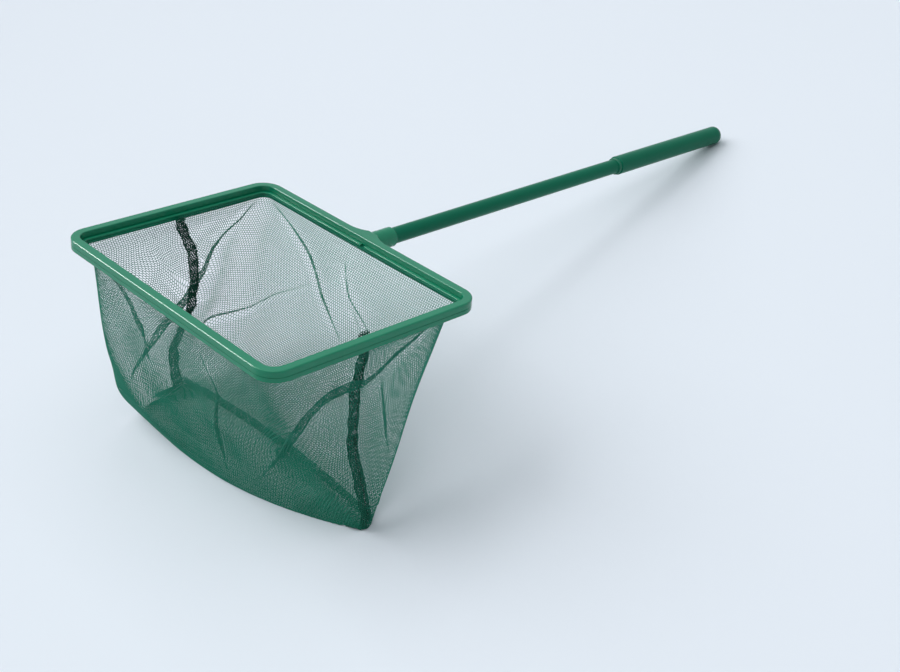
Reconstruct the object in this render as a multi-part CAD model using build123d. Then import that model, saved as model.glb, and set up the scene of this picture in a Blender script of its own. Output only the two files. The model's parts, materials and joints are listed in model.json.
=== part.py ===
from build123d import *
import math
import os

# All sizes are millimetres, in the net's own frame until the pieces are placed at the end:
# the rim's top is z = 0, its long sides run along X and the handle runs along +Y

# Rim
rim_length = 200.0
rim_width = 151.0
rim_corner_radius = 13.5
rail_top_width = 5.5
rail_height = 7.2
rail_edge_radius = 0.9
rail_inner_radius = 0.6
rail_foot_radius = 0.5
parting_depth = 0.2
parting_height = 0.4

# Retaining ring and the net's clamped hem
ledge_depth = 3.9
ring_width = 1.9
ring_height = 1.3
ring_edge_radius = 0.4
ring_joint_x = 4.0
ring_joint_gap = 4.0
hem_thickness = 0.3
hem_rise = 1.2
fit_clearance = 0.05
flange_clearance = 0.1

# Hub that takes the handle
hub_half_span = 18.0
hub_tip_half_width = 4.0
hub_reach = 4.4
boss_diameter = 12.6
boss_length = 19.5
boss_seat = 0.5
boss_edge_radius = 2.0
boss_mouth_radius = 0.9
boss_sink = 0.2
socket_depth = 15.5

# Telescopic handle
handle_reach = 352.5
tube_diameter = 10.3
tube_wall = 1.0
grip_length = 118.4
grip_diameter = 13.3
grip_wall = 0.9
grip_mouth_radius = 0.4
grip_end_radius = 4.5
cap_dome_length = 5.0
cap_spigot_length = 6.0
collar_length = 2.6
collar_diameter = 12.0
collar_edge_radius = 0.5
sleeve_length = 12.0
stop_gap = 0.5
plug_spigot_length = 10.0
plug_flange_width = 1.5
plug_groove_diameter = 9.4
piston_clearance = 0.25
friction_ring_width = 3.0
friction_ring_side_gap = 0.1
friction_ring_clearance = 0.03
friction_ring_slit = 1.5

# Net bag, a shell that is open at the mouth
net_thickness = 0.8
bag_depth = 131.0
bag_neck = 2.2
bag_foot_half_length = 97.5
bag_seam_offset = 2.0
bag_end_half_width = 3.0
bag_foot_front = 34.0
bag_foot_left_front = 25.0
bag_foot_back = 9.0
bag_fullness = 3.0
bag_foot_corner_radius = 2.2
bag_left_corner_swell = 36.0
bag_levels = (0.0, 0.3, 0.6, 0.85, 1.0)

# Plain grid of openings that stands for the bag's mesh, clear of the seams and of the foot
opening_columns = 12
opening_rows = 7
opening_share = 0.75
opening_first_level = 0.04
opening_last_level = 0.95
opening_seam_clear = 16.0

# Sewn seam down each end of the bag, and how far it strays from the end's middle at each level
seam_width = 8.0
seam_thickness = 0.9
seam_gap = 0.25
seam_levels = (0.0, 0.3, 0.6, 0.9)
left_seam_stray = (3.5, 11.5, 6.0, -3.0)
right_seam_stray = (-6.0, -11.5, -11.0, -1.0)

# How far a cutting shape runs past the face it cuts, and how closely an edge is found by its place
cut_overrun = 1.0
place_tolerance = 0.001

# Sizes that follow from those above
flange_top = ledge_depth + ring_height + hem_thickness + 2 * fit_clearance
ring_outer_inset = rail_top_width + hem_thickness + 2 * fit_clearance
ring_inner_inset = ring_outer_inset + ring_width
flange_inset = ring_inner_inset + flange_clearance
bag_inset = flange_inset + flange_clearance
bag_top = flange_top - fit_clearance - hem_thickness
handle_z = -boss_diameter / 2 - boss_sink
rim_edge_y = rim_width / 2
grip_mouth = handle_reach - grip_length
grip_bore = grip_diameter - 2 * grip_wall
tube_bore = tube_diameter - 2 * tube_wall
tube_end = grip_mouth + sleeve_length + stop_gap
tube_start = boss_length - socket_depth + stop_gap
plug_flange_diameter = grip_bore - 2 * piston_clearance
plug_groove_width = friction_ring_width + 2 * friction_ring_side_gap
plug_end = tube_end + 2 * plug_flange_width + plug_groove_width
cap_face = handle_reach - cap_dome_length
cap_inner_end = cap_face - cap_spigot_length
slide_travel = cap_inner_end - plug_end - stop_gap

# The net rests on the bag's foot and on the grip's rounded end, which sets how far the rim leans
end_y = rim_edge_y + handle_reach - grip_end_radius
end_z = handle_z - grip_diameter / 2 + grip_end_radius
foot_to_end_y = end_y - bag_seam_offset
foot_to_end_z = end_z + bag_depth
lean = math.atan2(foot_to_end_z, foot_to_end_y) - math.asin(
    grip_end_radius / math.hypot(foot_to_end_y, foot_to_end_z)
)


def plate(inset, top, bottom):
    """A plate with the rim's outline drawn in by inset, between two depths below the rim's top."""
    outline = RectangleRounded(
        rim_length - 2 * inset, rim_width - 2 * inset, rim_corner_radius - inset
    )
    return Pos(0, 0, -bottom) * extrude(outline, bottom - top)


def frame_band(outer_inset, inner_inset, top, bottom):
    """A closed band that follows the rim, between two insets and two depths."""
    return plate(outer_inset, top, bottom) - plate(inner_inset, top - cut_overrun, bottom + cut_overrun)


def barrel(start, stop, diameter):
    """A round bar on the handle's axis, between two distances from the rim's outer edge."""
    bar = Cylinder(diameter / 2, stop - start, align=(Align.CENTER, Align.CENTER, Align.MIN))
    return Pos(0, rim_edge_y + start, handle_z) * Rot(X=-90) * bar


def pipe(start, stop, outer, inner):
    """A round tube on the handle's axis."""
    return barrel(start, stop, outer) - barrel(start - cut_overrun, stop + cut_overrun, inner)


def round_edges(solid, start, radius):
    """Rounds the outer circle of the round bar's face at one distance from the rim."""
    circles = solid.edges().filter_by(GeomType.CIRCLE)
    face_y = rim_edge_y + start
    at_face = circles.filter_by_position(Axis.Y, face_y - place_tolerance, face_y + place_tolerance)
    return fillet(at_face.sort_by(SortBy.RADIUS)[-1:], radius)


def hub_outline():
    """The flat web that flares out of the rim's back rail to meet the boss."""
    root_y = rim_edge_y - rail_top_width / 2
    tip_y = rim_edge_y + hub_reach
    right_root = (hub_half_span, root_y)
    right_edge = (hub_half_span, rim_edge_y)
    right_tip = (hub_tip_half_width, tip_y)
    left_root = (-hub_half_span, root_y)
    left_edge = (-hub_half_span, rim_edge_y)
    left_tip = (-hub_tip_half_width, tip_y)
    return make_face(
        Wire(
            [
                Line(left_root, right_root),
                Line(right_root, right_edge),
                TangentArc(right_edge, right_tip, tangent=(-1, 0)),
                Line(right_tip, left_tip),
                TangentArc(left_edge, left_tip, tangent=(1, 0)),
                Line(left_edge, left_root),
            ]
        )
    )


def rim_frame():
    """The moulded frame: four rails with a lower flange, and the hub with its socket."""
    outline = RectangleRounded(rim_length, rim_width, rim_corner_radius) + hub_outline()
    body = Pos(0, 0, -rail_height) * extrude(outline, rail_height)
    body = fillet(body.faces().sort_by(Axis.Z)[-1].edges(), rail_edge_radius)
    body = fillet(body.faces().sort_by(Axis.Z)[0].edges(), rail_foot_radius)
    body -= plate(rail_top_width, -cut_overrun, flange_top)
    body -= plate(flange_inset, -cut_overrun, rail_height + cut_overrun)
    inner_top = body.faces().filter_by(Plane.XY).sort_by(Axis.Z)[-1].inner_wires()[0].edges()
    body = fillet(inner_top, rail_inner_radius)
    parting = frame_band(-hub_reach, parting_depth, ledge_depth, ledge_depth + parting_height)
    hub_block = Box(2 * hub_half_span, 2 * hub_reach + rail_top_width, rail_height)
    body -= parting - Pos(0, rim_edge_y + hub_reach, -rail_height / 2) * hub_block
    boss = round_edges(barrel(-boss_seat, boss_length, boss_diameter), -boss_seat, boss_edge_radius)
    body += round_edges(boss, boss_length, boss_mouth_radius)
    body -= plate(rail_top_width, -cut_overrun, flange_top)
    socket_diameter = tube_diameter + 2 * fit_clearance
    body -= barrel(boss_length - socket_depth, boss_length + cut_overrun, socket_diameter)
    return body


def retaining_ring():
    """The split ring that presses into the rim over the hem of the net, with its joint beside the hub."""
    ring = frame_band(ring_outer_inset, ring_inner_inset, ledge_depth, ledge_depth + ring_height)
    top = ring.faces().filter_by(Plane.XY).sort_by(Axis.Z)[-1]
    ring = fillet(top.inner_wires()[0].edges(), ring_edge_radius)
    joint_y = rim_edge_y - (ring_outer_inset + ring_inner_inset) / 2
    joint = Box(ring_joint_gap, ring_width + 2 * cut_overrun, ring_height + 2 * cut_overrun)
    return ring - Pos(ring_joint_x, joint_y, -ledge_depth - ring_height / 2) * joint


def net_hem():
    """The folded hem of the net, trapped under and behind the retaining ring."""
    outside = rail_top_width + fit_clearance
    bottom = flange_top - fit_clearance
    upright = frame_band(outside, outside + hem_thickness, bottom - hem_rise, bottom)
    flat = frame_band(outside, bag_inset, bag_top, bottom)
    return upright + flat


def between(first, last, share):
    """The value a share of the way from the first to the last."""
    return first + (last - first) * share


def level_plane(level, lift):
    """The plane of one level of the bag: level with the rim at the mouth, with the table at the foot."""
    turn = level * lean
    up = Vector(0, -math.sin(turn), math.cos(turn))
    middle = Vector(0, bag_seam_offset * level, between(-(bag_top + bag_neck), -bag_depth, level))
    return Plane(origin=middle + up * (lift * level), x_dir=(1, 0, 0), z_dir=up)


def bag_outline(level, inset):
    """One level's closed outline: straight across the ends, and bowed along the front and back.

    The back and the right end draw in evenly to the seams.
    The front and the left end stay full and draw in low down.
    """
    mouth = rim_width / 2 - bag_inset
    late = level**bag_fullness
    half_length = between(rim_length / 2 - bag_inset, bag_foot_half_length, level) - inset
    end = between(mouth, bag_end_half_width, level) - inset
    left_front = between(mouth, bag_foot_left_front, late) - inset
    front = between(mouth, bag_foot_front, late) - inset
    back = between(mouth, bag_foot_back, level) - inset
    corner = between(rim_corner_radius - bag_inset, bag_foot_corner_radius, level) - inset
    left_corner = corner + bag_left_corner_swell * 4 * level * (1 - level)
    right = Line((half_length, -end), (half_length, end))
    left = Line((-half_length, end), (-half_length, -left_front))
    if level == 0:
        far = Line((half_length, end), (-half_length, end))
        near = Line((-half_length, -left_front), (half_length, -end))
    else:
        far = ThreePointArc((half_length, end), (0, back), (-half_length, end))
        near = ThreePointArc((-half_length, -left_front), (0, -front), (half_length, -end))
    face = make_face(Wire([right, far, left, near]))
    other_vertices = face.vertices().sort_by_distance((-half_length, -left_front))[1:]
    face = fillet(other_vertices, corner)
    left_front_vertex = face.vertices().sort_by_distance((-half_length, -left_front))[:1]
    return fillet(left_front_vertex, left_corner)


def bag_body(inset):
    """The space inside the bag's outline, from its neck down to the foot, drawn in by inset."""
    sections = [level_plane(level, inset) * bag_outline(level, inset) for level in bag_levels]
    return loft(sections)


def bag_openings():
    """Bars that cut the grid: along Y through the front and back, and along X through both ends."""
    column_pitch = (rim_length - 2 * rim_corner_radius) / opening_columns
    row_step = (opening_last_level - opening_first_level) / opening_rows
    width = opening_share * column_pitch
    height = opening_share * row_step * (bag_depth - bag_top - bag_neck)
    bars = []
    for row in range(opening_rows):
        level = opening_first_level + (row + 0.5) * row_step
        plane = level_plane(level, 0)
        for column in range(opening_columns):
            x = (column + 0.5 - opening_columns / 2) * column_pitch
            bars.append(plane * Pos(x) * Box(width, 2 * rim_width, height))
        end = between(rim_width / 2 - bag_inset, bag_end_half_width, level + row_step / 2)
        end_columns = int((end - rim_corner_radius / 2 - opening_seam_clear) / column_pitch)
        for column in range(end_columns):
            y = opening_seam_clear + (column + 0.5) * column_pitch
            for side in (-1, 1):
                bars.append(plane * Pos(0, side * y) * Box(2 * rim_length, width, height))
    return bars


def net_bag():
    """The net bag as a shell of even thickness, with its mouth open and its grid of openings."""
    neck_bottom = bag_top + bag_neck
    shell = bag_body(0) + plate(bag_inset, bag_top, neck_bottom)
    inside_inset = bag_inset + net_thickness
    shell = shell - bag_body(net_thickness) - plate(inside_inset, bag_top - cut_overrun, neck_bottom)
    return shell - bag_openings()


def seam_strip(side, strays):
    """The sewn seam allowance that runs down the inside of one end of the bag."""
    sections = []
    for level, stray in zip(seam_levels, strays):
        half_length = between(rim_length / 2 - bag_inset, bag_foot_half_length, level)
        middle = side * (half_length - net_thickness - seam_gap - seam_thickness / 2)
        end = between(rim_width / 2 - bag_inset, bag_end_half_width, level)
        width = min(seam_width, end)
        sections.append(level_plane(level, 0) * Pos(middle, stray) * Rectangle(seam_thickness, width))
    return loft(sections)


def handle_tube():
    """The thin inner tube of the handle, seated in the hub's socket."""
    return pipe(tube_start, tube_end, tube_diameter, tube_bore)


def tail_plug():
    """The plug in the tail of the thin tube, with a groove for the friction ring."""
    plug = barrel(tube_end - plug_spigot_length, tube_end, tube_bore - 2 * fit_clearance)
    plug += barrel(tube_end, tube_end + plug_flange_width, plug_flange_diameter)
    plug += barrel(tube_end, plug_end, plug_groove_diameter)
    plug += barrel(plug_end - plug_flange_width, plug_end, plug_flange_diameter)
    return plug


def friction_ring():
    """The split ring that turns in the plug's groove and grips the bore of the grip tube."""
    start = tube_end + plug_flange_width + friction_ring_side_gap
    outer = grip_bore - 2 * friction_ring_clearance
    inner = plug_groove_diameter + 2 * fit_clearance
    ring = pipe(start, start + friction_ring_width, outer, inner)
    middle = rim_edge_y + start + friction_ring_width / 2
    slit = Box(friction_ring_slit, friction_ring_width + 2 * cut_overrun, outer / 2)
    return ring - Pos(0, middle, handle_z + outer / 2) * slit


def grip_tube():
    """The wide outer tube that is held in the hand."""
    tube = barrel(grip_mouth, cap_face, grip_diameter)
    tube = round_edges(tube, grip_mouth, grip_mouth_radius)
    return tube - barrel(grip_mouth - cut_overrun, cap_face + cut_overrun, grip_bore)


def grip_collar():
    """The guide bush in the mouth of the grip tube, with its visible neck."""
    neck = barrel(grip_mouth - collar_length, grip_mouth, collar_diameter)
    neck = round_edges(neck, grip_mouth - collar_length, collar_edge_radius)
    sleeve = barrel(grip_mouth, grip_mouth + sleeve_length, grip_bore - 2 * fit_clearance)
    bore = tube_diameter + 2 * fit_clearance
    return neck + sleeve - barrel(0, handle_reach, bore)


def grip_end_cap():
    """The rounded cap that closes the grip's end."""
    dome = barrel(cap_face, handle_reach, grip_diameter)
    dome = round_edges(dome, handle_reach, grip_end_radius)
    return dome + barrel(cap_inner_end, cap_face, grip_bore - 2 * fit_clearance)


pieces = {
    "rim_frame": rim_frame(),
    "retaining_ring": retaining_ring(),
    "net_hem": net_hem(),
    "net_bag": net_bag(),
    "seam_left": seam_strip(-1, left_seam_stray),
    "seam_right": seam_strip(1, right_seam_stray),
    "handle_tube": handle_tube(),
    "tail_plug": tail_plug(),
    "friction_ring": friction_ring(),
    "grip_tube": grip_tube(),
    "grip_collar": grip_collar(),
    "grip_end_cap": grip_end_cap(),
}

# Stands the net on the table as it rests: foot and grip end at z = 0, the middle of its box over the origin
leaning = {name: Rot(X=-math.degrees(lean)) * piece for name, piece in pieces.items()}
boxes = [piece.bounding_box() for piece in leaning.values()]
middle_y = (min(box.min.Y for box in boxes) + max(box.max.Y for box in boxes)) / 2
foot_z = -bag_depth * math.cos(lean) - bag_seam_offset * math.sin(lean)
os.makedirs("parts", exist_ok=True)
for name, piece in leaning.items():
    placed = Pos(0, -middle_y, -foot_z) * piece
    export_step(placed, f"parts/{name}.step")

print("lean in degrees", round(math.degrees(lean), 4), "slide travel", round(slide_travel, 3))
print("net frame origin in the part's frame", round(-middle_y, 4), round(-foot_z, 4))
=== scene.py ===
"""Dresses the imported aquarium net: moulded rim, telescopic handle, and a knitted bag with its sewn seams."""

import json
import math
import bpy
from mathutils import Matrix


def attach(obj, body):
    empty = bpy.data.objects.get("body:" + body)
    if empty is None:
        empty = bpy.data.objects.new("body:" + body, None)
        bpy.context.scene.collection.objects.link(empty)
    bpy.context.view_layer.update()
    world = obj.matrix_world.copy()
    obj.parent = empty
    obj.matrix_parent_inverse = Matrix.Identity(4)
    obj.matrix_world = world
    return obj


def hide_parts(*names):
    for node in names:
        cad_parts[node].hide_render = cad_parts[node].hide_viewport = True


bl_info = {
    "name": "Aquarium Net",
    "version": (1, 0, 0),
    "blender": (4, 5, 0),
    "location": "View3D > Sidebar > Aquarium Net",
    "description": "Dresses a packed aquarium net with its knitted bag, seams, finishes and studio",
    "category": "Object",
}

import bpy
import numpy as np
from bpy.props import FloatProperty, FloatVectorProperty, PointerProperty
from mathutils import Matrix, Vector

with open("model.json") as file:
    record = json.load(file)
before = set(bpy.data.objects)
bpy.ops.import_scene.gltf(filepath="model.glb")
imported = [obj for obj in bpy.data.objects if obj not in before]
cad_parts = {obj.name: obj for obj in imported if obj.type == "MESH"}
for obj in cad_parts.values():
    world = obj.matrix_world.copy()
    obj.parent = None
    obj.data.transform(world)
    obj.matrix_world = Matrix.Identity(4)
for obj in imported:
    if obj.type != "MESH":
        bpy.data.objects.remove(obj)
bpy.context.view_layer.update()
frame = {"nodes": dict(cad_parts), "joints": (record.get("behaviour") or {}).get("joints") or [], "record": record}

# The net's own frame: rim top at z = 0, long sides along X, handle along +Y, in millimetres
MILLIMETRE = 0.001
slide = next(joint for joint in frame["joints"] if joint["name"] == "handle_slide")
grip_mount = next(mount for mount in frame["record"]["mounts"] if mount["name"] == "grip")
lean = math.atan2(slide["axis"][2], -slide["axis"][1])
grip_middle_y = 366.5
handle_z = -6.5
turned = Matrix.Rotation(-lean, 4, "X")
net_origin = Vector(grip_mount["pos_m"]) - turned @ (Vector((0, grip_middle_y, handle_z)) * MILLIMETRE)
net_to_part = Matrix.Translation(net_origin) @ turned @ Matrix.Scale(MILLIMETRE, 4)

# Bag outline, level 0 at the mouth and level 1 at the foot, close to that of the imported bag
mouth_half_length = 91.8
mouth_half_width = 67.3
mouth_corner = 5.3
neck_z = -7.45
bag_depth = 131.0
foot_half_length = 97.3
foot_end_half_width = 3.0
foot_front = 33.0
foot_left_front = 28.0
foot_back = 9.0
foot_corner = 2.2
foot_offset = 2.0
front_fullness = 1.4
knee_level = 0.8
knee_start = 0.7
knee_share = 0.46
corner_draw = 12.0
corner_draw_level = 0.06
corner_limit = 0.8
foot_bend = 3.0
foot_band_width = 6.5
foot_band_gap = 0.7
foot_band_end = 0.1
floor_clearance = 0.3

# How many points draw the cloth
panel_columns = 540
panel_rows = 200
hem_row_count = 11
foot_rows = 60
foot_band_rows = 14
long_side_points = 200
corner_points = 24
seam_rows = 220
seam_columns = 60
stitch_columns_from_fold = 2
fold_points = 80

# The hem's path behind and under the retaining ring: spread beyond the mouth, and height
hem_z = -5.4
hem_path = ((2.5, -4.5), (2.5, hem_z), (0.0, hem_z), (0.0, neck_z))
hem_depth = 11.0

# Where the two seams run: level, and distance from the middle of the end
left_seam_run = (
    (0.0, -0.5),
    (0.2, 9.5),
    (0.36, 11.5),
    (0.53, 9.0),
    (0.74, -5.0),
    (0.9, -3.0),
    (1.0, 0.0),
)
right_seam_run = (
    (0.0, -1.5),
    (0.22, -9.5),
    (0.44, -11.0),
    (0.55, -10.5),
    (0.66, -7.0),
    (0.93, 0.0),
    (1.0, 0.0),
)
seam_inset = 1.0
seam_layers = 3
seam_fold_gap = 0.6
seam_foot_level = 0.985
left_seam_rise = 2.6
right_seam_rise = 3.6

# How the seams crumple: waves along the seam in radians per row, and the loose tuft at the top
seam_crumple = 0.35
seam_waver = 0.06
seam_short_wave = 0.23
seam_short_phase = 1.3
seam_long_wave = 0.11
seam_long_phase = 2.0
seam_long_height = 0.7
seam_wave_share = 0.6
seam_ripple = 0.31
seam_ripple_lag = 3
seam_tuft = 2.5
seam_tuft_level = 0.03
seam_tuft_lean = 0.5
seam_tuft_rows = 12

# Folds in the cloth, each over one panel or across a seam from the back to the front:
# points as share across the panel, level and width of the folded band in millimetres
fold_overlap = 2.4
fold_reach = 0.8
fold_least_reach = 1.2
fold_lift = 0.15
fold_set_back = 0.8
fold_softness = 1.0
fold_slack = 1.3
fold_slack_reach = 2.5
fold_slack_shift = 0.5
fold_slack_softness = 4.0
fold_margin = 2.5
fold_easing = 12
fold_line_easing = 10
left_fold = (
    (
        (0.189, 0.02, 1), (0.141, 0.11, 2), (0.089, 0.17, 2.5),
        (0.056, 0.23, 4), (0.03, 0.38, 7), (0.0, 0.49, 10),
    ),
    (
        (0.0, 0.49, 10), (0.02, 0.52, 10), (0.059, 0.58, 9),
        (0.085, 0.66, 6), (0.111, 0.74, 3), (0.13, 0.8, 0.4),
    ),
)
right_fold = (
    ((0.85, 0.04, 1), (0.868, 0.07, 2), (0.922, 0.12, 3), (0.962, 0.17, 3.5), (1.0, 0.19, 6)),
    (
        (1.0, 0.19, 6), (0.974, 0.18, 8), (0.913, 0.19, 8),
        (0.879, 0.25, 6), (0.824, 0.53, 4), (0.7, 0.82, 1),
    ),
)
back_folds = (
    (
        (0.238, 0.01, 0.8), (0.3, 0.08, 1.6), (0.349, 0.14, 2),
        (0.421, 0.29, 2), (0.482, 0.37, 1.6), (0.521, 0.43, 0.4),
    ),
    ((0.472, 0.1, 0.4), (0.477, 0.14, 1), (0.501, 0.23, 1.5), (0.571, 0.31, 1.2), (0.6, 0.36, 0.4)),
    ((0.49, 0.24, 0.4), (0.53, 0.29, 1), (0.56, 0.34, 0.4)),
    ((0.087, 0.67, 2), (0.137, 0.61, 2), (0.199, 0.52, 1.5), (0.271, 0.41, 1), (0.375, 0.28, 0.3)),
    ((0.94, 0.22, 0.4), (0.939, 0.25, 1.5), (0.913, 0.45, 2.5), (0.905, 0.63, 0.6)),
    ((1.0, 0.88, 1.5), (0.95, 0.91, 1.5), (0.87, 0.93, 0.4)),
)
front_folds = (
    ((0.21, 0.12, 1), (0.182, 0.24, 2.5), (0.15, 0.47, 3.5), (0.1, 0.65, 4), (0.06, 0.76, 0.6)),
    ((0.612, 0.14, 0.4), (0.672, 0.29, 2), (0.651, 0.5, 3), (0.61, 0.72, 2), (0.6, 0.84, 0.4)),
)

# Broad waves of the hanging cloth, each as its height, its radians across the panel and down it,
# and how many times it starts from the panel's own phase
wave_height = 1.3
cloth_waves = ((1.0, 17, 3, 1), (0.6, 31, -5, 2))
front_wave_phase = 0.9
back_wave_phase = 2.3
side_hold = 12
top_hold = 7.0

# Spare room round the cloth in its flat map
flat_map_margin = 1.02

# The hidden friction ring's colour, which is no property
friction_nylon = (0.62, 0.62, 0.58, 1.0)

# The studio in metres: the world, a softbox overhead, a key from the upper left, and a lower light
# that only mirrors, to draw the edge of the rim
sky_tint = (0.88, 0.94, 1.0, 1.0)
sky_light = 0.2
sky_seen = 0.85
softbox_power = 36.0
softbox_side = 3.0
softbox_place = Vector((0, -0.1, 2.5))
softbox_aim = Vector((0, -0.1, 0))
key_direction = Vector((0.6, 0.3, -0.72))
key_strength = 1.7
key_angle = 50.0
edge_direction = Vector((0.74, 0.58, -0.34))
edge_strength = 3.2
edge_angle = 20.0
floor_reach = 40.0

# The viewpoint in the net's own frame, and the lens in millimetres
camera_place = Vector((589.828, -457.137, 373.825))
camera_aim = Vector((-0.606477, 0.630568, -0.484367))
camera_up = Vector((-0.404421, 0.279887, 0.870707))
camera_lens = 57.265
camera_sensor = 36.0

# A bell is cut off this many widths from its middle, and no vector is divided by less than this length
bell_reach = 3
least_length = 1e-9


def between(first, last, share):
    """The value a share of the way from the first to the last."""
    return first + (last - first) * share


def corner_bend(start, corner, stop):
    """Points of a rounded corner that leaves one side at start and joins the next at stop."""
    share = np.linspace(0, 1, corner_points)[:, None]
    start, corner, stop = (np.array(point, float) for point in (start, corner, stop))
    return (1 - share) ** 2 * start + 2 * share * (1 - share) * corner + share**2 * stop


def bowed(x, left, middle, right, half):
    """Height of a bowed side through its left end, its middle and its right end."""
    along = x / half
    return middle + (right - left) / 2 * along + ((left + right) / 2 - middle) * along**2


def seam_place(run, level):
    """How far a seam lies from the middle of its end at one level."""
    levels, places = zip(*run)
    return float(np.interp(level, levels, places))


def panel_outline(level, front, spread=0.0):
    """One panel's line across the bag at one level, from the left seam round to the right seam."""
    half = between(mouth_half_length, foot_half_length, level) + spread
    end = between(mouth_half_width, foot_end_half_width, level) + spread
    drawn = corner_draw * min(1, level / corner_draw_level) * (1 - level)
    corner = between(mouth_corner, foot_corner, level) + drawn + spread
    corner = min(corner, corner_limit * end)
    if front:
        side = -1
        drawn_left = knee_share * level / knee_level
        drawn_left += (1 - knee_share / knee_level) * max(0.0, (level - knee_start) / (1 - knee_start)) ** 2
        left = between(mouth_half_width, foot_left_front, drawn_left) + spread
        middle = between(mouth_half_width, foot_front, level**front_fullness) + spread
    else:
        side = 1
        left = end
        middle = between(mouth_half_width, foot_back, level) + spread
    xs = np.linspace(-half + corner, half - corner, long_side_points)
    long_side = np.stack([xs, side * bowed(xs, left, middle, end, half)], 1)
    first = corner_bend((-half, side * (left - corner)), (-half, side * left), long_side[0])
    last = corner_bend(long_side[-1], (half, side * end), (half, side * (end - corner)))
    start = [[-half, seam_place(left_seam_run, level)]]
    stop = [[half, seam_place(right_seam_run, level)]]
    return np.concatenate([start, first, long_side[1:-1], last, stop])


def even_points(points, count):
    """The same line with its points spaced evenly along it."""
    steps = np.linalg.norm(np.diff(points, axis=0), axis=1)
    run = np.concatenate([[0], np.cumsum(steps)])
    places = np.linspace(0, run[-1], count)
    return np.stack([np.interp(places, run, points[:, axis]) for axis in range(points.shape[1])], 1)


def raised(flat, level):
    """Puts one level's outline in its plane: level with the rim at the mouth, with the table at the foot."""
    turn = level * lean
    z = between(neck_z, -bag_depth, level)
    y = foot_offset * level + flat[:, 1] * math.cos(turn)
    return np.stack([flat[:, 0], y, z + flat[:, 1] * math.sin(turn)], 1)


def hem_rows(front, columns, count):
    """The cloth's top edge as a few rows of points, along the hem's path down to the neck."""
    rows = []
    for spread, z in even_points(np.array(hem_path), count)[:-1]:
        row = raised(even_points(panel_outline(0.0, front, spread), columns), 0.0)
        row[:, 2] = z
        rows.append(row)
    return rows


def foot_band(columns):
    """The front panel's last rows: its edge turned up inside the back panel and folded down again."""
    rise = foot_band_width / (bag_depth + neck_z)
    up = np.linspace(0, rise, foot_band_rows)[1:]
    down = np.linspace(rise, foot_band_end * rise, foot_band_rows)[1:]
    climb = np.concatenate([up, down])
    rows = []
    for step, height in enumerate(climb):
        row = raised(even_points(panel_outline(1 - height, False), columns), 1 - height)
        row[:, 1] -= foot_band_gap * (1 + step / len(climb))
        rows.append(row)
    return rows


def panel_base(front):
    """A panel before its folds, as a grid: down from the hem, and for the front in under the bag."""
    grid = hem_rows(front, panel_columns, hem_row_count + 1)
    for level in np.linspace(0, 1, panel_rows):
        grid.append(raised(even_points(panel_outline(level, front), panel_columns), level))
    if front:
        foot = grid[-1]
        back_foot = raised(even_points(panel_outline(1.0, False), panel_columns), 1.0)
        grid += [between(foot, back_foot, share) for share in np.linspace(0, 1, foot_rows + 1)[1:]]
        grid += foot_band(panel_columns)
    return np.array(grid)


def eased(field, width, axis):
    """A field softened along one axis by a bell of the given width in steps."""
    reach = int(bell_reach * width)
    bell = np.exp(-0.5 * (np.arange(-reach, reach + 1) / width) ** 2)
    bell /= bell.sum()
    count = field.shape[axis]
    margins = [(reach, reach) if each == axis else (0, 0) for each in range(field.ndim)]
    padded = np.pad(field, margins, mode="edge")
    return sum(weight * padded.take(range(k, k + count), axis) for k, weight in enumerate(bell))


def softened(field, width):
    """A field softened both down and across the cloth."""
    return eased(eased(field, width, 0), width, 1)


def eased_foot(grid, width):
    """Softens a grid's bends from row to row, keeping its first and last rows."""
    places = np.arange(len(grid))
    keep = np.clip(np.minimum(places, places[::-1]) / (bell_reach * width), 0, 1)[:, None, None]
    return between(grid, eased(grid, width, 0), keep)


def unit(vectors):
    """The same vectors with length one."""
    return vectors / np.maximum(np.linalg.norm(vectors, axis=-1, keepdims=True), least_length)


def outward(grid, front):
    """Unit normals of a grid of points, pointing out of the bag."""
    across = np.gradient(grid, axis=1)
    down = np.gradient(grid, axis=0)
    return unit(np.cross(down, across) if front else np.cross(across, down))


def relaxed(line, passes):
    """A line whose inner points are drawn between their neighbours, once for each pass."""
    for _ in range(passes):
        line[1:-1] = (line[:-2] + 2 * line[1:-1] + line[2:]) / 4
    return line


def smooth_line(points):
    """A line eased through a few points, with whatever else is given at each of them."""
    points = np.array(points, float)
    places = np.linspace(0, len(points) - 1, fold_points)
    line = np.stack([np.interp(places, range(len(points)), each) for each in points.T], 1)
    return relaxed(line, fold_line_easing)


def fold_line(panel, points):
    """A fold's places on one panel, the cloth's normals there and the width of the band."""
    grid, normals = panel
    line = smooth_line(points)
    i = np.round(line[:, 0] * (grid.shape[1] - 1)).astype(int)
    j = np.round(line[:, 1] * (panel_rows - 1)).astype(int) + hem_row_count
    return np.concatenate([grid[j, i], normals[j, i], line[:, 2:]], 1)


def fold_spine(lines):
    """A fold's places, its sideways direction, how far it pushes and how wide it reaches."""
    line = relaxed(np.concatenate(lines), fold_easing)
    places = line[:, :3]
    normals = unit(line[:, 3:6])
    side = unit(np.cross(np.gradient(places, axis=0), normals))
    overlap = line[:, 6:] * fold_overlap
    push = overlap * (side + fold_lift * normals)
    reach = np.maximum(line[:, 6] * fold_reach, fold_least_reach)
    return places - side * overlap * fold_set_back, side, push, reach


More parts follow.
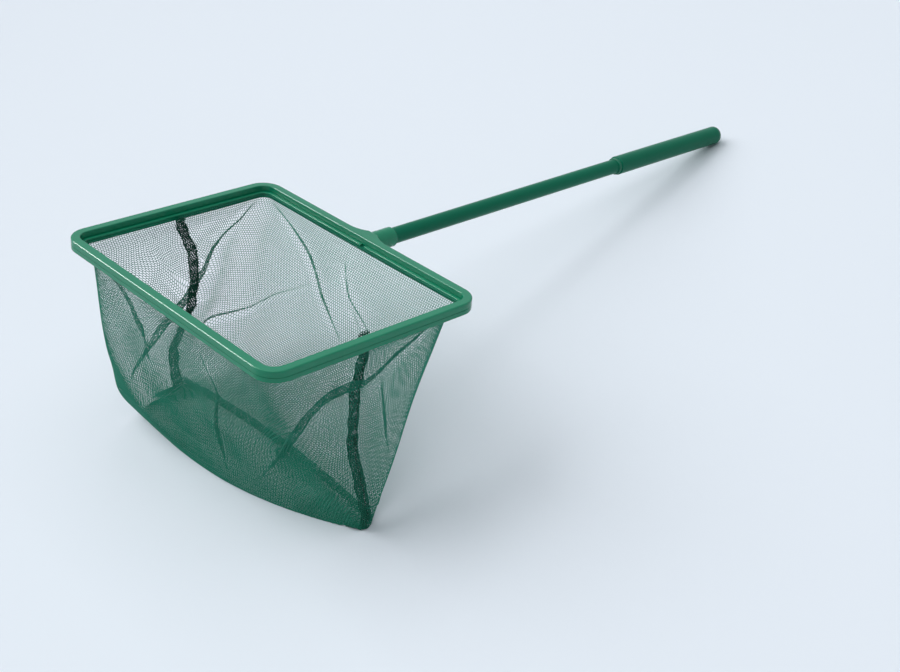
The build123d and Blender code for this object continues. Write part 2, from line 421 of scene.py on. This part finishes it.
def fold_shift(grid, spines):
    """How far the folds, which lean over, move each point, and the slack it needs in the flat cloth."""
    points = grid.reshape(-1, 3)
    shift = np.zeros_like(points)
    slack = np.zeros_like(points)
    for places, side, push, reach in spines:
        margin = fold_margin * fold_slack_reach * reach.max()
        inside = (points > places.min(0) - margin) & (points < places.max(0) + margin)
        near = np.flatnonzero(inside.all(axis=1))
        nearest = np.full(len(near), np.inf)
        pick = np.zeros(len(near), int)
        for k, place in enumerate(places):
            away = np.linalg.norm(points[near] - place, axis=1)
            closer = away < nearest
            nearest[closer] = away[closer]
            pick[closer] = k
        share = nearest / reach[pick]
        moved = np.exp(-(share**2))[:, None] * push[pick]
        offset = ((points[near] - places[pick]) * side[pick]).sum(axis=1) + fold_slack_shift * reach[pick]
        strength = np.linalg.norm(push[pick], axis=1) / (fold_overlap * reach[pick] / fold_reach)
        spare = fold_slack * strength * offset * np.exp(-((share / fold_slack_reach) ** 2))
        slack[near] += spare[:, None] * side[pick]
        stronger = np.linalg.norm(moved, axis=1) > np.linalg.norm(shift[near], axis=1)
        shift[near[stronger]] = moved[stronger]
    below = np.clip((neck_z - grid[:, :, 2:3]) / top_hold, 0, 1)
    shift = softened(shift.reshape(grid.shape) * below, fold_softness)
    slack = softened(slack.reshape(grid.shape) * below, fold_slack_softness)
    return shift, slack


def soft_waves(grid, front):
    """Broad shallow waves that keep the hanging cloth from looking stretched on a form."""
    rows, columns = grid.shape[:2]
    level = np.clip(np.arange(rows) / (panel_rows + hem_row_count), 0, 1)[:, None]
    share = np.linspace(0, 1, columns)[None, :]
    start = front_wave_phase if front else back_wave_phase
    wave = np.zeros((rows, columns))
    for height, across, down, phase in cloth_waves:
        wave += height * np.sin(across * share + down * level + phase * start)
    return wave_height * wave * np.sin(np.pi * level)


def above_floor(grid, clearance):
    """Lifts the points that would sink into the table."""
    floor_normal = np.array([0, -math.sin(lean), math.cos(lean)])
    height = grid @ floor_normal + net_origin.z / MILLIMETRE
    return grid + np.maximum(clearance - height, 0)[..., None] * floor_normal


def bag_panels():
    """The two panels before their folds, with their normals, and the folds of both."""
    panels = {}
    for front in (True, False):
        grid = panel_base(front)
        if front:
            grid = eased_foot(grid, foot_bend)
        panels[front] = (grid, outward(grid, front))
    spines = [fold_spine([fold_line(panels[True], points)]) for points in front_folds]
    spines += [fold_spine([fold_line(panels[False], points)]) for points in back_folds]
    for behind, ahead in (left_fold, right_fold):
        spines.append(fold_spine([fold_line(panels[False], behind), fold_line(panels[True], ahead)]))
    return panels, spines


def panel_grid(front, grid, normals, spines):
    """The finished surface of one panel and its slack, in millimetres in the net's own frame."""
    places = np.arange(grid.shape[1])
    beside = np.clip(np.minimum(places, places[::-1]) / side_hold, 0, 1)[None, :, None]
    below = np.clip((neck_z - grid[:, :, 2:3]) / top_hold, 0, 1)
    waves = normals * soft_waves(grid, front)[:, :, None] * beside * below
    shift, slack = fold_shift(grid, spines)
    return above_floor(grid + shift + waves, floor_clearance), slack


def seam_grid(side, run, rise, width):
    """A seam allowance folded to three layers along the inside of one end and crumpled, as a grid."""
    drop = np.linspace(-rise / (bag_depth + neck_z), seam_foot_level, seam_rows)
    across = np.linspace(0, seam_layers, seam_columns)
    fold = np.abs((across + 1) % 2 - 1)
    grid = []
    for place, level in enumerate(drop):
        inside = max(level, 0.0)
        above = max(-level, 0.0)
        half = between(mouth_half_length, foot_half_length, inside)
        wave = np.sin(seam_short_wave * place + seam_short_phase * side)
        wave += seam_long_height * np.sin(seam_long_wave * place + seam_long_phase)
        ripple = np.sin(seam_ripple * place + seam_ripple_lag * across)
        loose = 1 + seam_tuft * max(0.0, 1 - inside / seam_tuft_level)
        crumple = seam_crumple * loose * (seam_wave_share * wave + ripple)
        inward = seam_inset + seam_fold_gap * across + np.maximum(crumple, -seam_inset / 2)
        inward += seam_tuft_lean * above * bag_depth
        span = width * (1 + seam_waver * wave)
        y = seam_place(run, inside) + span * (fold - 0.5)
        row = raised(np.stack([side * (half - inward), y], 1), inside)
        row[:, 2] += above * (bag_depth + neck_z)
        grid.append(row)
    return above_floor(np.array(grid), floor_clearance)


def flat_places(plain, slack):
    """Where each point lies in the flat cloth: the unfolded grid laid out, with the folds' slack drawn in."""
    across = np.diff(plain, axis=1)
    down = np.diff(plain, axis=0)
    run = np.cumsum(np.linalg.norm(across, axis=2), axis=1)
    run = np.pad(run, ((0, 0), (1, 0)))
    run -= run[:, plain.shape[1] // 2][:, None]
    fall = np.pad(np.cumsum(np.linalg.norm(down, axis=2), axis=0), ((1, 0), (0, 0)))
    run += (slack * unit(np.gradient(plain, axis=1))).sum(axis=2)
    fall += (slack * unit(np.gradient(plain, axis=0))).sum(axis=2)
    return run, fall - fall.min()


class Value:
    """A node socket that takes part in arithmetic: each operator adds a Math node to its graph."""

    def __init__(self, graph, socket):
        self.graph = graph
        self.socket = socket

    def _math(self, operation, first, second):
        return self.graph.node("ShaderNodeMath", {"operation": operation}, {0: first, 1: second})

    def __add__(self, other):
        return self._math("ADD", self, other)

    def __radd__(self, other):
        return self._math("ADD", other, self)

    def __sub__(self, other):
        return self._math("SUBTRACT", self, other)

    def __rsub__(self, other):
        return self._math("SUBTRACT", other, self)

    def __mul__(self, other):
        return self._math("MULTIPLY", self, other)

    def __rmul__(self, other):
        return self._math("MULTIPLY", other, self)

    def __truediv__(self, other):
        return self._math("DIVIDE", self, other)

    def __rtruediv__(self, other):
        return self._math("DIVIDE", other, self)

    def __gt__(self, other):
        return self._math("GREATER_THAN", self, other)

    def __lt__(self, other):
        return self._math("LESS_THAN", self, other)

    def other(self, name):
        """Another output of the same node."""
        return Value(self.graph, self.socket.node.outputs[name])


class Graph:
    """A node tree that is built one node at a time."""

    def __init__(self, tree):
        self.tree = tree

    def node(self, kind, settings=None, sockets=None, output=0):
        """Adds a node: its settings are set first, then the values or links of its sockets."""
        made = self.tree.nodes.new(kind)
        for name, value in (settings or {}).items():
            setattr(made, name, value)
        for key, value in (sockets or {}).items():
            if isinstance(value, Value):
                self.tree.links.new(value.socket, made.inputs[key])
            else:
                made.inputs[key].default_value = value
        return Value(self, made.outputs[output]) if len(made.outputs) else None


def shaded(name, build):
    """A material whose Principled shader is fed by build(graph), which returns socket values by name."""
    material = bpy.data.materials.new(name)
    material.use_nodes = True
    material.node_tree.nodes.clear()
    graph = Graph(material.node_tree)
    shader = graph.node("ShaderNodeBsdfPrincipled", None, build(graph))
    graph.node("ShaderNodeOutputMaterial", None, {"Surface": shader})
    return material


def colour(value):
    """A colour property as the four numbers a colour socket takes."""
    return (value[0], value[1], value[2], 1.0)


def toned(graph, base, mask, dark, light):
    """The base colour made darker where the mask is 0 and lighter where it is 1."""
    low = tuple(channel * dark for channel in base[:3]) + (1.0,)
    high = tuple(min(channel * light, 1.0) for channel in base[:3]) + (1.0,)
    # A Mix node holds its colours in sockets 6 and 7, and gives the mixed colour from output 2
    return graph.node("ShaderNodeMix", {"data_type": "RGBA"}, {0: mask, 6: low, 7: high}, output=2)


def noise(graph, place, scale, detail=3.0):
    """A noise field with values about 0.5."""
    return graph.node(
        "ShaderNodeTexNoise", None, {"Vector": place, "Scale": scale, "Detail": detail, "Roughness": 0.55}
    )


def bumped(graph, height, strength, distance):
    """Normals bent by a height field as deep as a distance in metres."""
    return graph.node("ShaderNodeBump", None, {"Strength": strength, "Distance": distance, "Height": height})


def varied(value, field, swing):
    """A value that a noise field moves up and down."""
    return value + (field - 0.5) * swing


def object_place(graph):
    """The place on the piece, in metres."""
    return graph.node("ShaderNodeTexCoord").other("Object")


def moulded_plastic(name, base, roughness):
    """Satin moulded plastic: a fine spark-eroded grain, slow flow marks and faint handling scuffs."""

    def build(graph):
        place = object_place(graph)
        flow = noise(graph, place, scale=22.0)
        grain = noise(graph, place, scale=3800.0, detail=2.0)
        scuff_place = graph.node("ShaderNodeMapping", None, {"Vector": place, "Scale": (60.0, 900.0, 420.0)})
        scuff = noise(graph, scuff_place, scale=1.0, detail=4.0)
        worn = graph.node("ShaderNodeMapRange", None, {"Value": scuff, "From Min": 0.62, "From Max": 0.78})
        return {
            "Base Color": toned(graph, base, flow + worn * 0.12, dark=0.9, light=1.1),
            "Roughness": varied(roughness, flow, swing=0.1) + worn * 0.1,
            "Normal": bumped(graph, grain, strength=0.12, distance=0.00006),
            "Specular IOR Level": 0.35,
        }

    return shaded(name, build)


def extruded_plastic(name, base, roughness):
    """Smooth extruded tube: fine draw lines along the handle and a slow change of tone."""

    def build(graph):
        place = object_place(graph)
        along = graph.node(
            "ShaderNodeMapping",
            None,
            {"Vector": place, "Rotation": (lean, 0.0, 0.0), "Scale": (2600.0, 14.0, 2600.0)},
        )
        lines = noise(graph, along, scale=1.0, detail=2.0)
        tone = noise(graph, place, scale=16.0)
        return {
            "Base Color": toned(graph, base, between(tone, lines, 0.3), dark=0.88, light=1.12),
            "Roughness": varied(varied(roughness, lines, swing=0.12), tone, swing=0.08),
            "Normal": bumped(graph, lines, strength=0.1, distance=0.00004),
            "Specular IOR Level": 0.12,
        }

    return shaded(name, build)


def knitted_nylon(name, base, roughness):
    """Dyed nylon yarn: uneven dye along the strands and a soft sheen."""

    def build(graph):
        place = object_place(graph)
        dye = noise(graph, place, scale=45.0)
        fibre = noise(graph, place, scale=5200.0, detail=2.0)
        return {
            "Base Color": toned(graph, base, between(dye, fibre, 0.4), dark=0.78, light=1.22),
            "Roughness": varied(roughness, fibre, swing=0.2),
            "Normal": bumped(graph, fibre, strength=0.35, distance=0.00005),
            "Specular IOR Level": 0.15,
        }

    return shaded(name, build)


def studio_floor(name, base):
    """A matt pale sweep with the faintest mottle."""

    def build(graph):
        mottle = noise(graph, object_place(graph), scale=1.2)
        return {
            "Base Color": toned(graph, base, mottle, dark=0.985, light=1.015),
            "Roughness": 0.9,
            "Specular IOR Level": 0.1,
        }

    return shaded(name, build)


def net_tree():
    """The node tree that knits a flat sheet of hexagon mesh and lays it on a surface by its flat UV map."""
    tree = bpy.data.node_groups.new("Knitted Mesh", "GeometryNodeTree")
    face = tree.interface
    face.new_socket("Surface", in_out="INPUT", socket_type="NodeSocketGeometry")
    for name in ("Pitch", "Strand Width", "Width", "Height", "Span", "Left", "Right", "Top", "Bottom"):
        face.new_socket(name, in_out="INPUT", socket_type="NodeSocketFloat")
    face.new_socket("Yarn", in_out="INPUT", socket_type="NodeSocketMaterial")
    face.new_socket("Mesh", in_out="OUTPUT", socket_type="NodeSocketGeometry")
    graph = Graph(tree)
    given = graph.node("NodeGroupInput")
    pitch = given.other("Pitch")
    row_step = pitch * math.sqrt(0.75)
    width = given.other("Width")
    height = given.other("Height")
    across = graph.node("FunctionNodeFloatToInt", None, {0: width / pitch})
    down = graph.node("FunctionNodeFloatToInt", None, {0: height / row_step})
    grid = graph.node(
        "GeometryNodeMeshGrid",
        None,
        {
            "Size X": across * pitch,
            "Size Y": down * row_step,
            "Vertices X": across + 1,
            "Vertices Y": down + 1,
        },
    )
    place = graph.node("GeometryNodeInputPosition")
    parts = graph.node("ShaderNodeSeparateXYZ", None, {0: place})
    height_in_rows = (parts.other("Y") + down * row_step / 2) / row_step
    row = graph.node("ShaderNodeMath", {"operation": "ROUND"}, {0: height_in_rows})
    odd = graph.node("ShaderNodeMath", {"operation": "MODULO"}, {0: row, 1: 2.0})
    shift = graph.node("ShaderNodeCombineXYZ", None, {0: odd * pitch / 2})
    staggered = graph.node("GeometryNodeSetPosition", None, {"Geometry": grid, "Offset": shift})
    triangles = graph.node(
        "GeometryNodeTriangulate", {"quad_method": "SHORTEST_DIAGONAL"}, {"Mesh": staggered}
    )
    cells = graph.node("GeometryNodeDualMesh", None, {"Mesh": triangles})
    capture = graph.node("GeometryNodeCaptureAttribute", None, {"Geometry": cells}).socket.node
    capture.capture_items.new("VECTOR", "Flat")
    tree.links.new(graph.node("GeometryNodeInputPosition").socket, capture.inputs["Flat"])
    captured = Value(graph, capture.outputs["Geometry"])
    cloth = graph.node("ShaderNodeSeparateXYZ", None, {0: captured.other("Flat")})
    span = given.other("Span")
    lookup = graph.node(
        "ShaderNodeCombineXYZ",
        None,
        {0: cloth.other("X") / span + 0.5, 1: cloth.other("Y") / span + 0.5},
    )
    flat_map = graph.node("GeometryNodeInputNamedAttribute", {"data_type": "FLOAT_VECTOR"}, {"Name": "flat"})
    landed = graph.node(
        "GeometryNodeSampleUVSurface",
        {"data_type": "FLOAT_VECTOR"},
        {
            "Mesh": given.other("Surface"),
            "Value": graph.node("GeometryNodeInputPosition"),
            "UV Map": flat_map,
            "Sample UV": lookup,
        },
    )
    laid = graph.node("GeometryNodeSetPosition", None, {"Geometry": captured, "Position": landed})
    missed = graph.node("FunctionNodeBooleanMath", {"operation": "NOT"}, {0: landed.other("Is Valid")})
    inside = graph.node(
        "GeometryNodeDeleteGeometry", {"domain": "POINT"}, {"Geometry": laid, "Selection": missed}
    )
    strands = graph.node(
        "GeometryNodeDeleteGeometry", {"domain": "FACE", "mode": "ONLY_FACE"}, {"Geometry": inside}
    )
    beside = (cloth.other("X") < given.other("Left")) + (cloth.other("X") > given.other("Right"))
    beyond = (cloth.other("Y") < given.other("Top")) + (cloth.other("Y") > given.other("Bottom"))
    share = graph.node(
        "GeometryNodeDeleteGeometry",
        {"domain": "EDGE", "mode": "EDGE_FACE"},
        {"Geometry": strands, "Selection": beside + beyond},
    )
    lines = graph.node("GeometryNodeMeshToCurve", None, {"Mesh": share})
    yarn_shape = graph.node(
        "GeometryNodeCurvePrimitiveCircle",
        None,
        {"Resolution": 3, "Radius": given.other("Strand Width") / math.sqrt(3)},
    )
    yarn = graph.node("GeometryNodeCurveToMesh", None, {"Curve": lines, "Profile Curve": yarn_shape})
    solid = graph.node("GeometryNodeRealizeInstances", None, {"Geometry": yarn})
    dyed = graph.node("GeometryNodeSetMaterial", None, {"Geometry": solid, "Material": given.other("Yarn")})
    graph.node("NodeGroupOutput", None, {"Mesh": dyed})
    return tree


def stitch_tree():
    """The node tree that sews a running stitch of short round threads along a line."""
    tree = bpy.data.node_groups.new("Running Stitch", "GeometryNodeTree")
    face = tree.interface
    face.new_socket("Line", in_out="INPUT", socket_type="NodeSocketGeometry")
    for name in ("Pitch", "Stitch Length", "Thread Width"):
        face.new_socket(name, in_out="INPUT", socket_type="NodeSocketFloat")
    face.new_socket("Thread", in_out="INPUT", socket_type="NodeSocketMaterial")
    face.new_socket("Stitches", in_out="OUTPUT", socket_type="NodeSocketGeometry")
    graph = Graph(tree)
    given = graph.node("NodeGroupInput")
    line = graph.node("GeometryNodeMeshToCurve", None, {"Mesh": given.other("Line")})
    places = graph.node(
        "GeometryNodeCurveToPoints", {"mode": "LENGTH"}, {"Curve": line, "Length": given.other("Pitch")}
    )
    stitch = graph.node(
        "GeometryNodeMeshCylinder",
        None,
        {"Vertices": 6, "Radius": given.other("Thread Width") / 2, "Depth": given.other("Stitch Length")},
    )
    sewn = graph.node(
        "GeometryNodeInstanceOnPoints",
        None,
        {"Points": places, "Instance": stitch, "Rotation": places.other("Rotation")},
    )
    solid = graph.node("GeometryNodeRealizeInstances", None, {"Geometry": sewn})
    dyed = graph.node("GeometryNodeSetMaterial", None, {"Geometry": solid, "Material": given.other("Thread")})
    graph.node("NodeGroupOutput", None, {"Stitches": dyed})
    return tree


def input_name(tree, name):
    """The identifier of a tree's named input."""
    inputs = (item for item in tree.interface.items_tree if item.in_out == "INPUT")
    return next(item.identifier for item in inputs if item.name == name)


def in_part(points):
    """Points of the net's own frame as part points in metres."""
    flat = np.asarray(points, float).reshape(-1, 3)
    matrix = np.array(net_to_part)
    return flat @ matrix[:3, :3].T + matrix[:3, 3]


def grid_surface(name, grid, plain, slack):
    """A surface object made of a grid of points, with its flat cloth places as the UV map 'flat'."""
    rows, columns = grid.shape[:2]
    run, fall = flat_places(plain, slack)
    width = 2 * max(-run.min(), run.max()) * MILLIMETRE
    height = fall.max() * MILLIMETRE
    span = max(width, height) * flat_map_margin
    mesh = bpy.data.meshes.new(name)
    index = np.arange(rows * columns).reshape(rows, columns)
    quads = np.stack([index[:-1, :-1], index[1:, :-1], index[1:, 1:], index[:-1, 1:]], -1).reshape(-1, 4)
    mesh.from_pydata(in_part(grid).tolist(), [], quads.tolist())
    from_middle = np.stack([run.ravel() * MILLIMETRE, fall.ravel() * MILLIMETRE - height / 2], 1)
    places = from_middle / span + 0.5
    layer = mesh.uv_layers.new(name="flat")
    layer.data.foreach_set("uv", places[quads.ravel()].astype(np.float32).ravel())
    surface = bpy.data.objects.new(name, mesh)
    bpy.context.scene.collection.objects.link(surface)
    run_across, run_down = np.diff(run, axis=1)[:-1], np.diff(run, axis=0)[:, :-1]
    fall_across, fall_down = np.diff(fall, axis=1)[:-1], np.diff(fall, axis=0)[:, :-1]
    return surface, {
        "width": width,
        "height": height,
        "span": span,
        "cells": (run_across * fall_down - run_down * fall_across) * MILLIMETRE**2,
        "fall": fall[:-1].mean(axis=1) * MILLIMETRE,
    }


def made_by(name, form, tree, values):
    """A plain mesh object made from a form by a node tree with the given named inputs."""
    modifier = form.modifiers.new("Make", "NODES")
    modifier.node_group = tree
    for key, value in values.items():
        modifier[input_name(tree, key)] = value
    evaluated = form.evaluated_get(bpy.context.evaluated_depsgraph_get())
    mesh = bpy.data.meshes.new_from_object(evaluated)
    form.modifiers.remove(modifier)
    mesh.name = name
    piece = bpy.data.objects.new(name, mesh)
    bpy.context.scene.collection.objects.link(piece)
    return piece


def knit(name, surface, flat, pitch, strand_width, yarn, tree, sides, ends):
    """A piece of mesh laid on a surface, between two sides across the flat cloth and two ends down it."""
    values = {
        "Pitch": pitch,
        "Strand Width": strand_width,
        "Width": flat["width"],
        "Height": flat["height"],
        "Span": flat["span"],
        "Left": sides[0],
        "Right": sides[1],
        "Top": ends[0] - flat["height"] / 2,
        "Bottom": ends[1] - flat["height"] / 2,
        "Yarn": yarn,
    }
    return made_by(name, surface, tree, values)


def hang(piece, node):
    """Puts a soft piece on the net's head in place of its CAD node."""
    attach(piece, "net_head")
    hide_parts(node)


def assign(node_name, material):
    """Gives a CAD node its finish."""
    slots = frame["nodes"][node_name].data.materials
    slots.clear()
    slots.append(material)


def length_property(name, description, default):
    """A length in metres."""
    return FloatProperty(name=name, description=description, default=default, unit="LENGTH")


def colour_property(name, description, default):
    """A colour of three numbers."""
    return FloatVectorProperty(name=name, description=description, subtype="COLOR", size=3, default=default)


class AquariumNetSizes(bpy.types.PropertyGroup):
    """Sizes of the knitted bag."""

    mesh_pitch: length_property("Mesh pitch", "Distance between the sides of one mesh cell", 0.0016)
    strand_width: length_property("Strand width", "Width of one strand of the mesh", 0.00036)
    seam_width: length_property("Seam width", "Width of the sewn and doubled edge", 0.0075)
    seam_pitch: length_property("Seam pitch", "Distance between the sides of a seam's mesh cell", 0.00165)
    seam_strand: length_property("Seam strand", "Width of one strand in the seams", 0.00041)
    stitch_pitch: length_property("Stitch pitch", "Distance from one stitch to the next", 0.0022)
    stitch_length: length_property("Stitch length", "Length of thread that shows in one stitch", 0.0019)
    thread_width: length_property("Thread width", "Width of the sewing thread", 0.0008)


class AquariumNetColours(bpy.types.PropertyGroup):
    """Colours of the pieces and the studio."""

    rim: colour_property("Rim", "Moulded rim and ring", (0.003, 0.225, 0.115))
    handle: colour_property("Handle", "Tubes of the handle", (0.0012, 0.145, 0.078))
    yarn: colour_property("Yarn", "Dyed nylon of the bag", (0.022, 0.235, 0.155))
    seam: colour_property("Seam", "Doubled edges and thread", (0.004, 0.068, 0.042))
    floor: colour_property("Floor", "Studio sweep", (0.80, 0.86, 0.93))


class NET_OT_dress_rim(bpy.types.Operator):
    """Gives the rim and its retaining ring their moulded finish"""

    bl_idname = "aquarium_net.dress_rim"
    bl_label = "Dress rim"

    def execute(self, context):
        base = colour(context.scene.aquarium_net_colours.rim)
        assign("rim_frame", moulded_plastic("rim moulding", base, roughness=0.2))
        assign("retaining_ring", moulded_plastic("ring moulding", base, roughness=0.2))
        return {"FINISHED"}


class NET_OT_dress_handle(bpy.types.Operator):
    """Gives the tubes, the collar and the inner pieces of the handle their finish"""

    bl_idname = "aquarium_net.dress_handle"
    bl_label = "Dress handle"

    def execute(self, context):
        base = colour(context.scene.aquarium_net_colours.handle)
        bush = moulded_plastic("collar moulding", base, roughness=0.45)
        assign("handle_tube", extruded_plastic("drawn tube", base, roughness=0.32))
        assign("grip_tube", extruded_plastic("grip tube", base, roughness=0.34))
        assign("grip_end_cap", moulded_plastic("cap moulding", base, roughness=0.36))
        assign("grip_collar", bush)
        assign("tail_plug", bush)
        assign("friction_ring", moulded_plastic("friction ring nylon", friction_nylon, roughness=0.4))
        return {"FINISHED"}


class NET_OT_knit_bag(bpy.types.Operator):
    """Knits the two panels of the bag with their clamped hem and hangs them from the rim"""

    bl_idname = "aquarium_net.knit_bag"
    bl_label = "Knit bag"

    def execute(self, context):
        base = colour(context.scene.aquarium_net_colours.yarn)
        yarn = knitted_nylon("dyed nylon yarn", base, roughness=0.55)
        tree = net_tree()
        panels, spines = bag_panels()
        for front, (plain, normals) in panels.items():
            panel = "front" if front else "back"
            grid, slack = panel_grid(front, plain, normals, spines)
            surface, flat = grid_surface(panel + " panel form", grid, plain, slack)
            self.knit_panel(context, panel, surface, flat, yarn, tree)
            bpy.data.objects.remove(surface)
        return {"FINISHED"}

    def knit_panel(self, context, panel, surface, flat, yarn, tree):
        """Cuts one panel's cloth into the hem along its top and two halves below it."""
        sizes = context.scene.aquarium_net_sizes
        edge = flat["width"]
        hem = hem_depth * MILLIMETRE
        foot = flat["height"]
        middle = flat["cells"].shape[1] // 2
        whole_width = (edge, hem)
        half_width = (edge / 2, foot - hem)
        cuts = (
            (f"hem_{panel}", "net_hem", (-edge, edge), (0.0, hem), np.s_[:], whole_width),
            (f"net_{panel}_left", "net_bag", (-edge, 0.0), (hem, foot), np.s_[:middle], half_width),
            (f"net_{panel}_right", "net_bag", (0.0, edge), (hem, foot), np.s_[middle:], half_width),
        )
        for name, node, sides, ends, columns, cut in cuts:
            piece = knit(name, surface, flat, sizes.mesh_pitch, sizes.strand_width, yarn, tree, sides, ends)
            hang(piece, node)
            rows = (flat["fall"] >= ends[0]) & (flat["fall"] < ends[1])
            area = min(float(flat["cells"][rows][:, columns].sum()), cut[0] * cut[1])


class NET_OT_sew_seams(bpy.types.Operator):
    """Folds, crumples and stitches the seam allowance down each end of the bag"""

    bl_idname = "aquarium_net.sew_seams"
    bl_label = "Sew seams"

    def execute(self, context):
        sizes = context.scene.aquarium_net_sizes
        base = colour(context.scene.aquarium_net_colours.seam)
        yarn = knitted_nylon("seam yarn", base, roughness=0.6)
        thread = knitted_nylon("seam thread", base, roughness=0.5)
        knitting = net_tree()
        sewing = stitch_tree()
        width = sizes.seam_width / MILLIMETRE
        seams = (("left", -1, left_seam_run, left_seam_rise), ("right", 1, right_seam_run, right_seam_rise))
        for end, side, run, rise in seams:
            grid = seam_grid(side, run, rise, width)
            form, flat = grid_surface(f"{end} seam form", grid, grid, np.zeros_like(grid))
            sides = (-flat["width"], flat["width"])
            ends = (0.0, flat["height"])
            name = f"seam_{end}_fold"
            piece = knit(name, form, flat, sizes.seam_pitch, sizes.seam_strand, yarn, knitting, sides, ends)
            node = f"seam_{end}"
            hang(piece, node)
            stitches = self.stitch(f"seam_{end}_stitches", grid, sizes, thread, sewing)
            hang(stitches, node)
            cut = (flat["width"], flat["height"])
            area = min(float(flat["cells"].sum()), cut[0] * cut[1])
            bpy.data.objects.remove(form)
        return {"FINISHED"}

    def stitch(self, name, grid, sizes, thread, tree):
        """Two running stitches below the tuft, one by each fold of the allowance."""
        columns = grid.shape[1]
        sewn = grid[seam_tuft_rows:]
        by_fold = sewn[:, columns // seam_layers - stitch_columns_from_fold]
        by_edge = sewn[:, 2 * columns // seam_layers - stitch_columns_from_fold]
        rows = len(sewn)
        edges = [(start + k, start + k + 1) for start in (0, rows) for k in range(rows - 1)]
        mesh = bpy.data.meshes.new(name + " lines")
        mesh.from_pydata(in_part(np.concatenate([by_fold, by_edge])).tolist(), edges, [])
        lines = bpy.data.objects.new(name + " lines", mesh)
        bpy.context.scene.collection.objects.link(lines)
        values = {
            "Pitch": sizes.stitch_pitch,
            "Stitch Length": sizes.stitch_length,
            "Thread Width": sizes.thread_width,
            "Thread": thread,
        }
        piece = made_by(name, lines, tree, values)
        bpy.data.objects.remove(lines)
        return piece


class NET_OT_build_stage(bpy.types.Operator):
    """Makes the floor, the studio light and the camera"""

    bl_idname = "aquarium_net.build_stage"
    bl_label = "Build stage"

    def execute(self, context):
        scene = context.scene
        scene.view_settings.view_transform = "Standard"
        mesh = bpy.data.meshes.new("studio sweep")
        corners = [(x * floor_reach, y * floor_reach, 0) for x, y in ((-1, -1), (1, -1), (1, 1), (-1, 1))]
        mesh.from_pydata(corners, [], [(0, 1, 2, 3)])
        floor = bpy.data.objects.new("studio_sweep", mesh)
        scene.collection.objects.link(floor)
        mesh.materials.append(studio_floor("pale sweep", colour(scene.aquarium_net_colours.floor)))
        self.light_studio(scene)
        self.place_camera(scene)
        return {"FINISHED"}

    def light_studio(self, scene):
        """A pale world, a softbox overhead, a soft key and a lamp that only mirrors in the rim's edge."""
        scene.world = self.studio_world(sky_tint, light=sky_light, seen=sky_seen)
        softbox = bpy.data.lights.new("overhead softbox", "AREA")
        softbox.shape = "SQUARE"
        softbox.size = softbox_side
        softbox.energy = softbox_power
        self.hold(scene, softbox, softbox_aim - softbox_place).location = softbox_place
        self.distant_lamp(scene, "key", key_strength, key_angle, key_direction)
        edge = self.distant_lamp(scene, "edge light", edge_strength, edge_angle, edge_direction)
        edge.visible_diffuse = False

    def studio_world(self, tint, light, seen):
        """A world that lights the net at one strength, and is seen and mirrored at another."""
        world = bpy.data.worlds.new("studio")
        world.use_nodes = True
        world.node_tree.nodes.clear()
        graph = Graph(world.node_tree)
        rays = graph.node("ShaderNodeLightPath")
        mirrored = rays.other("Is Glossy Ray") + rays.other("Is Transmission Ray")
        lighting = graph.node("ShaderNodeBackground", None, {"Color": tint, "Strength": light})
        backdrop = graph.node("ShaderNodeBackground", None, {"Color": tint, "Strength": seen})
        mixed = graph.node(
            "ShaderNodeMixShader", None, {0: rays.other("Is Camera Ray") + mirrored, 1: lighting, 2: backdrop}
        )
        graph.node("ShaderNodeOutputWorld", None, {"Surface": mixed})
        return world

    def hold(self, scene, light, direction):
        """An object that turns a lamp to shine in one direction."""
        holder = bpy.data.objects.new(light.name, light)
        holder.rotation_euler = direction.to_track_quat("-Z", "Y").to_euler()
        scene.collection.objects.link(holder)
        return holder

    def distant_lamp(self, scene, name, energy, angle, direction):
        """A lamp far off that shines in one direction, as wide as the given angle in degrees."""
        light = bpy.data.lights.new(name, "SUN")
        light.energy = energy
        light.angle = math.radians(angle)
        return self.hold(scene, light, direction)

    def place_camera(self, scene):
        """The photograph's viewpoint."""
        lens = bpy.data.cameras.new("camera")
        lens.sensor_width = camera_sensor
        lens.lens = camera_lens
        camera = bpy.data.objects.new("camera", lens)
        right = camera_aim.cross(camera_up)
        turn = Matrix((right, camera_up, -camera_aim)).transposed().to_4x4()
        camera.matrix_world = Matrix.Translation(net_to_part @ camera_place) @ turned @ turn
        scene.collection.objects.link(camera)
        scene.camera = camera


class NET_PT_sidebar(bpy.types.Panel):
    """Lists the sizes, the colours and the steps"""

    bl_idname = "NET_PT_sidebar"
    bl_label = "Aquarium Net"
    bl_space_type = "VIEW_3D"
    bl_region_type = "UI"
    bl_category = "Aquarium Net"

    def draw(self, context):
        layout = self.layout
        for group in (context.scene.aquarium_net_sizes, context.scene.aquarium_net_colours):
            for name in group.bl_rna.properties.keys():
                if name not in ("rna_type", "name"):
                    layout.prop(group, name)
        for step in steps:
            layout.operator(step.bl_idname)


steps = (NET_OT_dress_rim, NET_OT_dress_handle, NET_OT_knit_bag, NET_OT_sew_seams, NET_OT_build_stage)
classes = (AquariumNetSizes, AquariumNetColours) + steps + (NET_PT_sidebar,)


def register():
    for item in classes:
        bpy.utils.register_class(item)
    bpy.types.Scene.aquarium_net_sizes = PointerProperty(type=AquariumNetSizes)
    bpy.types.Scene.aquarium_net_colours = PointerProperty(type=AquariumNetColours)


def unregister():
    del bpy.types.Scene.aquarium_net_colours
    del bpy.types.Scene.aquarium_net_sizes
    for item in reversed(classes):
        bpy.utils.unregister_class(item)


def main():
    """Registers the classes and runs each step."""
    register()
    bpy.ops.aquarium_net.dress_rim()
    bpy.ops.aquarium_net.dress_handle()
    bpy.ops.aquarium_net.knit_bag()
    bpy.ops.aquarium_net.sew_seams()
    bpy.ops.aquarium_net.build_stage()


if __name__ == "__main__":
    main()
